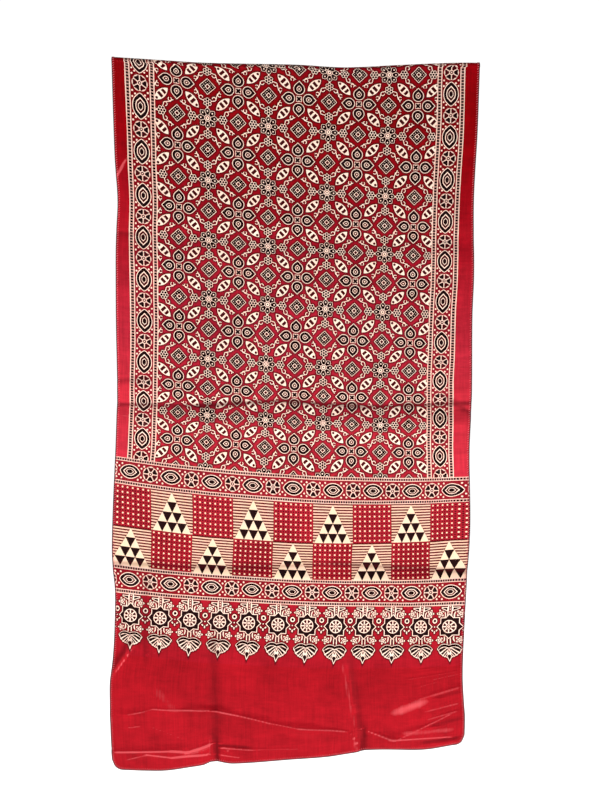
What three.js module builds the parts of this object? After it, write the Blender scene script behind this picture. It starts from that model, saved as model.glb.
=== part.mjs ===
// A block-printed mashru silk stole, hung folded over a slack line, as one closed sheet of cloth.
// Millimetres, +Z up. The printed front layer faces -Y, and the cloth's left side is at -X.
// The origin is on the inside of the fold, halfway along the line that the cloth hangs over.
// A long front layer hangs from the fold, and a shorter back layer hangs behind it.

import * as THREE from 'three';

// Driving sizes of the cloth and of the way it hangs.
const THICKNESS = 1.2;
const FOLD_RADIUS = 7;        // from the line's middle to the middle of the cloth's thickness
const FRONT_DRIFT = 5;        // the front layer hangs this much further forward at its hem
const BACK_DRIFT = 5;         // and the back layer this much further back
const BACK_SIDE_INSET = 5;    // the back layer's sides stand this far inside the front's at its hem
const CORNER_RADIUS = 15;     // round corners of the hemmed ends
const EDGE_FADE = 30;         // a packing crease dies out over this length at its ends

// Steps along the cloth, from the front hem over the fold to the back hem.
const LOWER_FRONT_ROWS = 20;
const UPPER_FRONT_ROWS = 30;
const LOWER_FRONT_SHARE = 0.28;   // share of the front layer's height that has the closer rows
const FOLD_ROWS = 6;
const BACK_ROWS = 26;

// Places across the cloth, from 0 at its left side to 1 at its right side.
// They stand closer at the sides and beside the two long upright folds.
const ACROSS = [
  0, 0.012, 0.03, 0.06, 0.1, 0.15, 0.2, 0.245, 0.265, 0.285, 0.34, 0.39, 0.44, 0.49,
  0.54, 0.59, 0.635, 0.66, 0.685, 0.715, 0.77, 0.82, 0.87, 0.92, 0.96, 0.985, 1,
];

// The line sags a little. Columns: x, height of the inside of the fold.
const LINE = [
  [-284, 12], [-221, 8], [-141, 3], [0, 0], [74, -4], [166, 0], [244, 3], [284, 3],
];

// The front layer's two sides. Columns: height, x.
const LEFT_SIDE = [
  [14, -281], [-139, -277], [-206, -273], [-264, -276], [-382, -277], [-501, -276],
  [-581, -279], [-701, -285], [-766, -286], [-810, -282], [-867, -283], [-916, -286],
  [-955, -291], [-1027, -291], [-1096, -288],
];
const RIGHT_SIDE = [
  [14, 280], [-98, 277], [-206, 272], [-323, 273], [-382, 271], [-510, 271],
  [-590, 268], [-710, 270], [-801, 265], [-871, 262], [-952, 260], [-1021, 264], [-1096, 261],
];

// The front hem, before its corners are rounded. Columns: x, height.
const FRONT_HEM = [
  [-291, -1095], [-229, -1097], [-189, -1096], [-136, -1087], [-122, -1082], [-88, -1086],
  [6, -1079], [66, -1074], [107, -1067], [147, -1063], [217, -1063], [264, -1056],
];

// The back hem. Columns: x, height.
const BACK_HEM = [
  [-291, -960], [-60, -972], [120, -986], [284, -1002],
];

// Folds and creases of the front layer, as soft ridges (a height above 0) and troughs (below 0)
// along straight runs. Columns: what it is, x and z of its two ends, half its width, its height.
const FRONT_FOLDS = [
  ['upper packing crease', -300, -262, 300, -268, 10, -2.4],
  ['swell under it', -300, -290, 300, -296, 24, 1.2],
  ['middle packing crease', -300, -516, 300, -528, 10, -2.6],
  ['swell under it', -300, -545, 300, -557, 24, 1.4],
  ['lower packing crease', -300, -770, 300, -782, 11, -2.8],
  ['left upright fold, its crest', -148, -880, -144, -1100, 20, 4.2],
  ['left upright fold, its trough', -127, -880, -125, -1100, 9, -2.6],
  ['right upright fold, its crest', 66, -915, 92, -1100, 20, 4],
  ['right upright fold, its trough', 92, -925, 112, -1100, 9, -2.4],
  ['crest across the end, left', -292, -1010, -130, -1004, 9, 2.4],
  ['crest across the end, middle', -130, -1004, 20, -1035, 9, 2.4],
  ['crest across the end, right', 20, -1035, 150, -1052, 9, 2.4],
  ['crest to the right corner', 150, -1052, 262, -1010, 12, 3],
  ['swell by the right side', 175, -1000, 262, -970, 22, 3],
  ['crest by the left hem', -292, -1071, -140, -1060, 9, 2.4],
  ['slanting crease by the left side', -262, -900, -292, -945, 9, -3],
  ['crest beside it', -250, -905, -286, -952, 9, 2.4],
  ['turned side above the right corner', 262, -700, 266, -850, 9, 2.2],
];

// Wide soft waves of the hanging cloth. Columns: what it is, x and z of its ends, half width, height.
const WAVES = [
  ['left wave', -215, -60, -205, -1100, 55, 2],
  ['hollow left of the middle', -95, -80, -60, -1000, 60, -1.6],
  ['middle wave', 40, -60, 20, -1100, 60, 1.8],
  ['right wave', 205, -80, 190, -1100, 50, 2],
];
const BACK_WAVES = [
  ['left wave', -190, -60, -200, -1000, 60, -2.2],
  ['middle hollow', -20, -60, 10, -1000, 70, 1.6],
  ['right wave', 170, -60, 185, -1000, 60, -2.2],
];

const CLOTH_COLOUR = 0xa8101f;

// The value at a place in a table of [place, value] rows, smooth through every row.
function smoothAt(table, place) {
  const rows = table[0][0] > table[table.length - 1][0] ? [...table].reverse() : table;
  const last = rows.length - 1;
  if (place <= rows[0][0]) return rows[0][1];
  if (place >= rows[last][0]) return rows[last][1];
  const i = rows.findIndex((row, k) => k < last && place < rows[k + 1][0]);
  const slope = (a, b) => (rows[b][1] - rows[a][1]) / (rows[b][0] - rows[a][0]);
  const startSlope = slope(Math.max(i - 1, 0), i + 1);
  const endSlope = slope(i, Math.min(i + 2, last));
  const span = rows[i + 1][0] - rows[i][0];
  const t = (place - rows[i][0]) / span;
  const t2 = t * t;
  const t3 = t2 * t;
  return (2 * t3 - 3 * t2 + 1) * rows[i][1] + (t3 - 2 * t2 + t) * span * startSlope
    + (3 * t2 - 2 * t3) * rows[i + 1][1] + (t3 - t2) * span * endSlope;
}

// How far a ridge or trough lifts the cloth at (x, z): full height on its run, fading beside it
// and past its ends.
function liftAt([, x0, z0, x1, z1, halfWidth, height], x, z) {
  const run = new THREE.Vector2(x1 - x0, z1 - z0);
  const length = run.length();
  run.divideScalar(length);
  const along = (x - x0) * run.x + (z - z0) * run.y;
  const aside = (x - x0) * run.y - (z - z0) * run.x;
  const past = Math.max(0, -along, along - length) / EDGE_FADE;
  return height * Math.exp(-((aside / halfWidth) ** 2) - past ** 2);
}

function lift(table, x, z) {
  return table.reduce((sum, row) => sum + liftAt(row, x, z), 0);
}

// The two layers part quickly below the fold and then hang nearly straight: 0 at the fold, 1 at the hem.
function parting(down) {
  return Math.sin((down * Math.PI) / 2);
}

// A hem rises by this much close to the cloth's sides, so that its corners are round.
function cornerRise(distanceFromSide) {
  if (distanceFromSide >= CORNER_RADIUS) return 0;
  const reach = 1 - distanceFromSide / CORNER_RADIUS;
  return CORNER_RADIUS * (1 - Math.sqrt(1 - reach * reach));
}

// Height of the middle of the fold's arch over the line, at x.
function archCentre(x) {
  return smoothAt(LINE, x) + THICKNESS / 2 - FOLD_RADIUS;
}

// The front layer's middle surface. across and down run from 0 to 1, down from the fold to the hem.
function frontPoint(across, down) {
  const flatX = THREE.MathUtils.lerp(LEFT_SIDE[0][1], RIGHT_SIDE[0][1], across);
  const top = archCentre(flatX);
  const fullWidth = RIGHT_SIDE[0][1] - LEFT_SIDE[0][1];
  const fromSide = Math.min(across, 1 - across) * fullWidth;
  const hem = smoothAt(FRONT_HEM, flatX) + cornerRise(fromSide);
  const z = THREE.MathUtils.lerp(top, hem, down);
  const x = THREE.MathUtils.lerp(smoothAt(LEFT_SIDE, z), smoothAt(RIGHT_SIDE, z), across);
  const settle = THREE.MathUtils.smoothstep(down, 0, 0.12);
  const forward = lift(FRONT_FOLDS, x, z) + lift(WAVES, x, z);
  return new THREE.Vector3(x, -FOLD_RADIUS - FRONT_DRIFT * parting(down) - settle * forward, z);
}

// The back layer's middle surface, from the fold to its own hem.
function backPoint(across, down) {
  const flatX = THREE.MathUtils.lerp(LEFT_SIDE[0][1], RIGHT_SIDE[0][1], across);
  const top = archCentre(flatX);
  const fullWidth = RIGHT_SIDE[0][1] - LEFT_SIDE[0][1];
  const fromSide = Math.min(across, 1 - across) * fullWidth;
  const hem = smoothAt(BACK_HEM, flatX) + cornerRise(fromSide);
  const z = THREE.MathUtils.lerp(top, hem, down);
  const inset = BACK_SIDE_INSET * parting(down);
  const left = smoothAt(LEFT_SIDE, z) + inset;
  const right = smoothAt(RIGHT_SIDE, z) - inset;
  const x = THREE.MathUtils.lerp(left, right, across);
  const settle = THREE.MathUtils.smoothstep(down, 0, 0.12);
  const backward = -lift(BACK_WAVES, x, z);
  return new THREE.Vector3(x, FOLD_RADIUS + BACK_DRIFT * parting(down) + settle * backward, z);
}

// The half circle of cloth over the line. turn runs from 0 at the front to 1 at the back.
function foldPoint(across, turn) {
  const x = THREE.MathUtils.lerp(LEFT_SIDE[0][1], RIGHT_SIDE[0][1], across);
  const angle = Math.PI * turn;
  const y = -FOLD_RADIUS * Math.cos(angle);
  return new THREE.Vector3(x, y, archCentre(x) + FOLD_RADIUS * Math.sin(angle));
}

// Every row of the sheet's middle surface, from the front hem to the back hem.
function middleSurface() {
  const rows = [];
  const addRow = (point, along) => rows.push(ACROSS.map((across) => point(across, along)));
  for (let i = 0; i < LOWER_FRONT_ROWS; i += 1) {
    addRow(frontPoint, 1 - (LOWER_FRONT_SHARE * i) / LOWER_FRONT_ROWS);
  }
  for (let i = 0; i < UPPER_FRONT_ROWS; i += 1) {
    addRow(frontPoint, (1 - LOWER_FRONT_SHARE) * (1 - i / UPPER_FRONT_ROWS));
  }
  for (let i = 0; i <= FOLD_ROWS; i += 1) addRow(foldPoint, i / FOLD_ROWS);
  for (let i = 1; i <= BACK_ROWS; i += 1) addRow(backPoint, i / BACK_ROWS);
  return rows;
}

// The outward direction at each point of the middle surface: away from the line inside the fold.
function outwardNormals(rows) {
  const lastRow = rows.length - 1;
  const lastColumn = ACROSS.length - 1;
  return rows.map((row, i) => row.map((point, j) => {
    const along = rows[Math.min(i + 1, lastRow)][j].clone().sub(rows[Math.max(i - 1, 0)][j]);
    const across = row[Math.min(j + 1, lastColumn)].clone().sub(row[Math.max(j - 1, 0)]);
    return across.cross(along).normalize();
  }));
}

// One closed body: the outer face, the inner face and the four cut edges.
function sheetGeometry() {
  const rows = middleSurface();
  const normals = outwardNormals(rows);
  const columns = ACROSS.length;
  const perFace = rows.length * columns;
  const positions = [];
  for (const side of [1, -1]) {
    rows.forEach((row, i) => row.forEach((point, j) => {
      const shifted = point.clone().addScaledVector(normals[i][j], (side * THICKNESS) / 2);
      positions.push(shifted.x, shifted.y, shifted.z);
    }));
  }
  const index = [];
  const quad = (a, b, c, d) => index.push(a, b, c, a, c, d);
  const outer = (i, j) => i * columns + j;
  const inner = (i, j) => perFace + i * columns + j;
  for (let i = 0; i + 1 < rows.length; i += 1) {
    for (let j = 0; j + 1 < columns; j += 1) {
      quad(outer(i, j), outer(i, j + 1), outer(i + 1, j + 1), outer(i + 1, j));
      quad(inner(i, j), inner(i + 1, j), inner(i + 1, j + 1), inner(i, j + 1));
    }
    const side = columns - 1;
    quad(outer(i, 0), outer(i + 1, 0), inner(i + 1, 0), inner(i, 0));
    quad(outer(i + 1, side), outer(i, side), inner(i, side), inner(i + 1, side));
  }
  const end = rows.length - 1;
  for (let j = 0; j + 1 < columns; j += 1) {
    quad(outer(0, j + 1), outer(0, j), inner(0, j), inner(0, j + 1));
    quad(outer(end, j), outer(end, j + 1), inner(end, j + 1), inner(end, j));
  }
  const geometry = new THREE.BufferGeometry();
  geometry.setAttribute('position', new THREE.Float32BufferAttribute(positions, 3));
  geometry.setIndex(index);
  geometry.computeVertexNormals();
  return geometry;
}

// The cloth: satin-faced silk, so a little smoother than plain cotton.
const clothMaterial = new THREE.MeshStandardMaterial({
  color: CLOTH_COLOUR, roughness: 0.6, metalness: 0,
});

const stole = new THREE.Mesh(sheetGeometry(), clothMaterial);
stole.name = 'stole';

const group = new THREE.Group();
group.add(stole);

export default group;
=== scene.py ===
# %% [markdown]
# Block-printed mashru silk stole, hung folded over a slack line.
# A stole is one length of cloth, so this lesson makes one thin sheet and gives it a rich finish.
# The sheet is bent on the printed length itself: every point knows how far it is from the front hem
# and from the left side, and the hand-printed pattern reads those two lengths, not the room.

import bisect
import math

import bmesh
import bpy
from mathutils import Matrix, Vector, noise


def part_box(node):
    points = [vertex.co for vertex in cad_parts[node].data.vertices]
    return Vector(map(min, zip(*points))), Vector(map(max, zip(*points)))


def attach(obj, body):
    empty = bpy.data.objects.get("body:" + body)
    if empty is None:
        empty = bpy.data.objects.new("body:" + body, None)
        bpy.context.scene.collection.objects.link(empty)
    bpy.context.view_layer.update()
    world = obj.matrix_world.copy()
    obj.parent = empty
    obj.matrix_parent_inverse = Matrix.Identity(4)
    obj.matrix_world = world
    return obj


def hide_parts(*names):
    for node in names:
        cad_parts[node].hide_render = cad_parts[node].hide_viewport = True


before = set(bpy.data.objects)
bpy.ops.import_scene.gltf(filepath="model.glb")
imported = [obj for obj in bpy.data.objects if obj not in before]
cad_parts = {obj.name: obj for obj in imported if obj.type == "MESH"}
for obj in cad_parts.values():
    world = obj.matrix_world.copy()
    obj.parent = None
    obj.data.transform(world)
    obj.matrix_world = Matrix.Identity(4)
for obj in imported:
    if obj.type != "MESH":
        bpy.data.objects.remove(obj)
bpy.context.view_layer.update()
stole_low, stole_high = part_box("stole")
print("solid stole", [round(side, 3) for side in stole_high - stole_low])

# %% [markdown]
# The camera comes first, because the picture is matched through it.
# It stands a little above the middle of the cloth and looks down by four degrees, from 2.3 m away.

# %% Camera
def add_object(name, data):
    """Puts an object that shows this data into the scene."""
    added = bpy.data.objects.new(name, data)
    bpy.context.scene.collection.objects.link(added)
    return added


CAMERA_DISTANCE = 2.30
CAMERA_PITCH = math.radians(4)
AIM = Vector((0.006, 0, -0.514))
LONG_SIDE_PIXELS = 800
FOCAL_PIXELS = 1479
SENSOR = 36

camera_data = bpy.data.cameras.new("photo_camera")
camera_data.sensor_width = SENSOR
camera_data.lens = FOCAL_PIXELS / LONG_SIDE_PIXELS * SENSOR
camera = add_object("photo_camera", camera_data)
back_off = Vector((0, -math.cos(CAMERA_PITCH), math.sin(CAMERA_PITCH)))
camera.location = AIM + back_off * CAMERA_DISTANCE
camera.rotation_euler = (math.pi / 2 - CAMERA_PITCH, 0, 0)
bpy.context.scene.camera = camera
print("camera lens", round(camera_data.lens, 2), "mm")

# %% [markdown]
# The cloth is cut 56 cm wide and 2.08 m long. Its print is laid out in bands from each end:
# plain end, finial row, narrow band, checker, narrow band, and then the long field with its two
# side borders. The sheet gets grid lines exactly where those regions meet, so that each region
# can have its own material.

# %% Sizes of the cut and of its printed regions, in metres
CUT_WIDTH = 0.56
CUT_LENGTH = 2.08
FINIALS_START = 0.145
LOWER_BAND_START = 0.2425
CHECKER_START = 0.284
UPPER_BAND_START = 0.408
FIELD_START = 0.4494
LEFT_BORDER = (0.0176, 0.0615)
RIGHT_BORDER = (0.4976, 0.5415)

# %% Places of the grid lines
def steps(marks, pitches):
    """Grid lines through every mark, about one pitch apart between each two of them."""
    lines = [marks[0]]
    for start, end, pitch in zip(marks, marks[1:], pitches):
        count = max(1, round((end - start) / pitch))
        lines += [start + (end - start) * i / count for i in range(1, count + 1)]
    return lines


ACROSS_LINES = steps(
    [0, LEFT_BORDER[0], LEFT_BORDER[1], RIGHT_BORDER[0], RIGHT_BORDER[1], CUT_WIDTH],
    [0.0035, 0.0055, 0.0056, 0.0055, 0.0035],
)
LOWER_CREASE_END = 0.320
UPPER_CREASE = (0.540, 0.582)
FOLD_ZONE = (1.06, 1.145)
BACK_FIELD_END = CUT_LENGTH - FIELD_START
END_MARKS = [0, FINIALS_START, LOWER_BAND_START, CHECKER_START, UPPER_BAND_START, FIELD_START]
ALONG_LINES = steps(
    sorted(END_MARKS + [LOWER_CREASE_END, *UPPER_CREASE, *FOLD_ZONE, BACK_FIELD_END])
    + [CUT_LENGTH - mark for mark in reversed(END_MARKS[:-1])],
    [0.0014, 0.0035, 0.0045, 0.0022, 0.0045, 0.0045, 0.0050, 0.0021, 0.0050, 0.0025, 0.012]
    + [0.01] * 5,
)
print("grid", len(ACROSS_LINES), "by", len(ALONG_LINES), "lines")

# %% [markdown]
# How the cloth hangs. The line sags a little, the sides draw in, the hem is slanted, and the print's
# rows droop on the left. Short tables hold these, with the same values as the solid.
# A smooth curve through each table gives every place between its rows.

# %% The line, the sides and the hems
FOLD_RADIUS = 0.007
FRONT_DRIFT = 0.005
BACK_DRIFT = 0.005
BACK_SIDE_INSET = 0.005
CORNER_RADIUS = 0.015
EDGE_FADE = 0.03
INSIDE_TO_MIDDLE = 0.0006

# Columns: x, height of the inside of the fold.
LINE = [
    (-0.284, 0.012), (-0.221, 0.008), (-0.141, 0.003), (0, 0),
    (0.074, -0.004), (0.166, 0), (0.244, 0.003), (0.284, 0.003),
]
# Columns: height, x.
LEFT_SIDE = [
    (-1.096, -0.288), (-1.027, -0.291), (-0.955, -0.291), (-0.916, -0.286), (-0.867, -0.283),
    (-0.810, -0.282), (-0.766, -0.286), (-0.701, -0.285), (-0.581, -0.279), (-0.501, -0.276),
    (-0.382, -0.277), (-0.264, -0.276), (-0.206, -0.273), (-0.139, -0.277), (0.014, -0.281),
]
RIGHT_SIDE = [
    (-1.096, 0.261), (-1.021, 0.264), (-0.952, 0.260), (-0.871, 0.262), (-0.801, 0.265),
    (-0.710, 0.270), (-0.590, 0.268), (-0.510, 0.271), (-0.382, 0.271), (-0.323, 0.273),
    (-0.206, 0.272), (-0.098, 0.277), (0.014, 0.280),
]
# Columns: x, height.
FRONT_HEM = [
    (-0.291, -1.095), (-0.229, -1.097), (-0.189, -1.096), (-0.136, -1.087), (-0.122, -1.082),
    (-0.088, -1.086), (0.006, -1.079), (0.066, -1.074), (0.107, -1.067), (0.147, -1.063),
    (0.217, -1.063), (0.264, -1.056),
]
BACK_HEM = [(-0.291, -0.960), (-0.060, -0.972), (0.120, -0.986), (0.284, -1.002)]

# Where the print's rows lie on the front. Columns: length from the front hem, then the heights at
# one sixth, at the middle and at five sixths of the way across.
PRINT_ROWS = [
    (0.1500, -0.915, -0.928, -0.929), (0.2110, -0.856, -0.866, -0.869),
    (0.2632, -0.801, -0.813, -0.815), (0.3460, -0.720, -0.735, -0.735),
    (0.4287, -0.634, -0.651, -0.655), (0.4897, -0.574, -0.589, -0.595),
    (0.5831, -0.490, -0.505, -0.511), (0.6765, -0.399, -0.415, -0.425),
    (0.7699, -0.307, -0.324, -0.334), (0.8633, -0.216, -0.236, -0.247),
    (0.9567, -0.122, -0.145, -0.156), (1.0501, -0.024, -0.052, -0.063),
]
# How far the print lies to the right of an even spread between the two sides. Columns: height,
# then the drift at the same three places.
PRINT_DRIFT = [
    (-0.930, 0, 0, 0), (-0.871, -0.001, 0.001, -0.002), (-0.811, 0, 0.0015, -0.0005),
    (-0.748, 0.0035, 0.003, -0.003), (-0.693, 0.003, 0.002, -0.0045), (-0.640, 0.0005, 0.001, -0.003),
    (-0.583, 0.002, 0.001, -0.004), (-0.489, 0.0015, -0.001, -0.007), (-0.440, 0.003, 0, -0.0055),
    (-0.395, 0.0045, 0.002, -0.004), (-0.300, 0.004, 0.003, -0.0025), (-0.207, 0.0015, 0.002, -0.001),
    (-0.110, 0.003, 0.003, 0), (-0.020, 0.003, 0.0045, 0.0005),
]
DRIFT_FADE = 0.04
# The length at the very top of the fold, at the same three places.
CREST_LENGTHS = (1.0859, 1.1067, 1.1183)

# %% Curves through those tables
def smooth_at(table, place):
    """The value at a place in a table of (place, value) rows, smooth through every row."""
    last = len(table) - 1
    if place <= table[0][0]:
        return table[0][1]
    if place >= table[last][0]:
        return table[last][1]
    i = next(k for k in range(last) if place < table[k + 1][0])

    def slope(a, b):
        return (table[b][1] - table[a][1]) / (table[b][0] - table[a][0])

    start_slope = slope(max(i - 1, 0), i + 1)
    end_slope = slope(i, min(i + 2, last))
    span = table[i + 1][0] - table[i][0]
    t = (place - table[i][0]) / span
    t2 = t * t
    t3 = t2 * t
    return ((2 * t3 - 3 * t2 + 1) * table[i][1] + (t3 - 2 * t2 + t) * span * start_slope
            + (3 * t2 - 2 * t3) * table[i + 1][1] + (t3 - t2) * span * end_slope)


def through_three(left, middle, right, across):
    """A curve through three values that stand at 1/6, 1/2 and 5/6 of the way across."""
    t = (across - 0.5) * 3
    return middle + (right - left) / 2 * t + ((left + right) / 2 - middle) * t * t


def print_drift(across, z):
    """How far the print lies aside, nothing at the very edges of the cloth."""
    drifts = (smooth_at([(row[0], row[k]) for row in PRINT_DRIFT], z) for k in (1, 2, 3))
    return through_three(*drifts, across) * smooth_step(min(across, 1 - across), 0, DRIFT_FADE)


def corner_rise(from_side):
    """How much a hem rises close to the cloth's side, so that its corner is round."""
    if from_side >= CORNER_RADIUS:
        return 0
    reach = 1 - from_side / CORNER_RADIUS
    return CORNER_RADIUS * (1 - math.sqrt(1 - reach * reach))


def smooth_step(value, start, end):
    t = min(1, max(0, (value - start) / (end - start)))
    return t * t * (3 - 2 * t)

# %% [markdown]
# Folds and creases. The stole was packed folded in a drawer, so three creases run across it, and
# its plain end is silk that has been handled: two long upright folds, a crest across the end, a
# swell at the right corner and small gathers. Each one is a soft ridge (a height above 0) or
# trough (below 0) along a straight run. A real cloth simulation would lose the
# places of these creases, so vertices are moved instead.

# %% Tables of folds, in millimetres
def in_metres(*runs):
    """A table of runs. Each one is x and z of both its ends, half its width and its height."""
    return [tuple(value / 1000 for value in run) for run in runs]


MAIN_FOLDS = in_metres(
    (-300, -262, 300, -268, 14, -1.6), (-300, -290, 300, -296, 28, 1),
    (-300, -516, 300, -528, 10, -2.6), (-300, -545, 300, -557, 24, 1.4),
    (-300, -770, 300, -782, 11, -2.8), (-148, -880, -144, -1100, 20, 4.2),
    (-127, -880, -125, -1100, 12, -1.6), (66, -915, 92, -1100, 20, 4),
    (92, -925, 112, -1100, 9, -2.4), (-292, -1010, -130, -1004, 9, 2.4),
    (-130, -1004, 20, -1035, 9, 2.4), (20, -1035, 150, -1052, 9, 2.4),
    (150, -1052, 262, -1010, 12, 3), (175, -1000, 262, -970, 22, 3),
    (-292, -1071, -140, -1060, 9, 2.4), (-262, -900, -292, -945, 9, -3),
    (-250, -905, -286, -952, 9, 2.4), (262, -700, 266, -850, 9, 2.2),
)
WAVES = in_metres(
    (-215, -60, -205, -1100, 55, 2), (-95, -80, -60, -1000, 60, -1.6),
    (40, -60, 20, -1100, 60, 1.8), (205, -80, 190, -1100, 50, 2),
)
BACK_WAVES = in_metres(
    (-190, -60, -200, -1000, 60, -2.2), (-20, -60, 10, -1000, 70, 1.6),
    (170, -60, 185, -1000, 60, -2.2),
)
# Sharper creases that are too fine for the solid. Their lift is also kept in the crease map, from
# which the silk gets a painted highlight on each crest and painted shade in each trough.
FINE_CREASES = in_metres(
    (-290, -520, -150, -522, 3.2, -1.2), (-150, -522, -20, -515, 3.4, -1.8),
    (-20, -515, 110, -524, 3.6, -1.8), (110, -524, 275, -518, 3.2, -1.5),
    (-285, -483, -235, -480, 4, -0.9), (235, -510, 275, -536, 4, -1.2),
    (-285, -537, -225, -540, 3, 0.8), (-280, -768, -110, -776, 3.5, -1.1),
    (-110, -776, 60, -770, 3, -1), (60, -770, 265, -781, 3.5, -1.3),
    (-280, -254, -240, -259, 3, -0.8), (-263, -148, -276, -172, 3.5, 1.2),
    (-264, -1008, -242, -1004, 2.2, 0.9), (-242, -1004, -224, -999, 2.2, 0.8),
    (-224, -999, -195, -1001, 2.2, 1), (-195, -1001, -139, -1000, 2.2, 1),
    (-137, -1000, -91, -1010, 2.2, 1.1), (-91, -1010, -42, -1022, 2.2, 1),
    (-42, -1022, 4, -1030, 2.2, 0.9), (4, -1030, 77, -1034, 2.2, 1),
    (104, -1032, 149, -1048, 2.3, 1.1), (149, -1048, 242, -1044, 2.3, 1),
    (158, -1048, 242, -1007, 2.3, 0.9), (-224, -1029, -178, -1047, 1.6, 0.9),
    (-178, -1047, -160, -1053, 1.6, 0.7), (-283, -1068, -195, -1066, 2.6, 1.1),
    (-195, -1066, -170, -1068, 3, 1.3), (-170, -1068, -135, -1055, 3.2, 1.3),
    (-125, -1061, -71, -1065, 2.2, 1), (-71, -1065, 4, -1063, 2.2, 0.8),
    (-264, -1080, -234, -1072, 2.2, 0.9), (-234, -1072, -195, -1077, 2.6, 1.1),
    (-195, -1077, -139, -1071, 2.8, 1.2), (-125, -1072, -91, -1077, 2.2, 1),
    (-262, -1029, -246, -1027, 2, 0.9), (-215, -975, -195, -995, 20, 0.7),
    (-165, -1070, -137, -1060, 4, 0.8), (-122, -1057, -78, -1061, 2.4, -1.2),
    (8, -1082, 60, -1074, 3, 0.8), (-243, -907, -243, -1047, 5, 0.3),
    (-129, -900, -126, -1060, 7.5, -0.9), (86, -935, 105, -1045, 7, -0.8),
    (-127, -1045, -124, -1082, 4, -1.8), (-136, -1050, -132, -1084, 3, 0.8),
    (-123, -1052, -108, -1066, 2.2, 1), (106, -1040, 104, -1070, 4.5, -1.6),
    (88, -1040, 96, -1052, 2.2, 1.1), (92, -1054, 99, -1078, 5.5, 0.9),
    (74, -935, 90, -1020, 6.5, 0.8), (-235, -802, -236, -912, 5, -0.9),
    (-236, -913, -210, -907, 2.2, 0.8), (-258, -905, -281, -938, 2.2, 1.1),
    (-266, -900, -284, -930, 5, -1.2), (166, -1000, 190, -991, 11, 1),
    (191, -964, 217, -957, 3.4, 0.7), (196, -982, 250, -966, 4.5, 0.8),
    (215, -952, 262, -942, 2.6, 0.7), (205, -981, 262, -970, 2.8, -0.6),
    (205, -1002, 250, -991, 3.4, 0.8), (208, -1015, 249, -1003, 3, 0.8),
    (215, -1024, 258, -1014, 3, -0.8), (175, -1037, 240, -1032, 8, 0.8),
    (205, -1052, 250, -1046, 3, -1.3), (175, -952, 250, -940, 2.4, 0.7),
    (190, -938, 255, -928, 2.2, 0.6), (200, -925, 255, -918, 2, 0.6),
)

# %% How far those folds lift the cloth
# A run fades out over this many half widths past its ends, and no further than EDGE_FADE.
FADE_WIDTHS = 3
# So far beside or past a run, counted in its half widths or fades, nothing is left of it.
REACH = 3


def lifts_at(table, x, z):
    """Full height on each run, fading beside it and past its ends."""
    for x0, z0, x1, z1, half_width, height in table:
        length = math.hypot(x1 - x0, z1 - z0)
        run_x, run_z = (x1 - x0) / length, (z1 - z0) / length
        aside = ((x - x0) * run_z - (z - z0) * run_x) / half_width
        if abs(aside) > REACH:
            continue
        along = (x - x0) * run_x + (z - z0) * run_z
        fade = min(EDGE_FADE, half_width * FADE_WIDTHS)
        past = max(0, -along, along - length) / fade
        if past < REACH:
            yield height * math.exp(-aside * aside - past * past)


def fold_lift(table, x, z):
    """Soft folds add up where they cross."""
    return sum(lifts_at(table, x, z))


def crease_lift(x, z):
    """Sharp creases don't: where two of them meet, the stronger one counts."""
    return max(lifts_at(FINE_CREASES, x, z), key=abs, default=0)


# Wrinkles: how high they are, and how many there are in a metre across and along.
CRUMPLE_HEIGHT = 0.0006
CRUMPLES = (14, 18)
RIPPLE_HEIGHT = 0.00035
RIPPLES = (22, 75)
RIPPLE_SEED = 7


def crumple(x, z, seed):
    """Small uneven wrinkles all over: slow ones every way, and finer ones lying mostly across."""
    slow = noise.noise(Vector((x * CRUMPLES[0], z * CRUMPLES[1], seed)))
    fine = noise.noise(Vector((x * RIPPLES[0], z * RIPPLES[1], seed + RIPPLE_SEED)))
    return CRUMPLE_HEIGHT * slow + RIPPLE_HEIGHT * fine

# %% Where each point of the cloth hangs
ARC = math.pi * FOLD_RADIUS / 2
FIRST_SIDE_X = (LEFT_SIDE[-1][1], RIGHT_SIDE[-1][1])
# The share of the way down over which the folds grow to their full height.
SETTLE_SHARE = 0.12
FRONT_SEED = 1
BACK_SEED = 20
BACK_CRUMPLE = 1.5


def column_of(across):
    """What is the same all along one thread of the cloth: its fold and its table of heights."""
    flat_x = FIRST_SIDE_X[0] + (FIRST_SIDE_X[1] - FIRST_SIDE_X[0]) * across
    from_side = min(across, 1 - across) * (FIRST_SIDE_X[1] - FIRST_SIDE_X[0])
    arch = smooth_at(LINE, flat_x) + INSIDE_TO_MIDDLE - FOLD_RADIUS
    crest = through_three(*CREST_LENGTHS, across)
    heights = [(0, smooth_at(FRONT_HEM, flat_x) + corner_rise(from_side))]
    heights += [(row[0], through_three(*row[1:], across)) for row in PRINT_ROWS]
    heights.append((crest - ARC, arch))
    back_hem = smooth_at(BACK_HEM, flat_x) + corner_rise(from_side)
    return {"x": flat_x, "arch": arch, "crest": crest, "heights": heights, "back_hem": back_hem}


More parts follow.
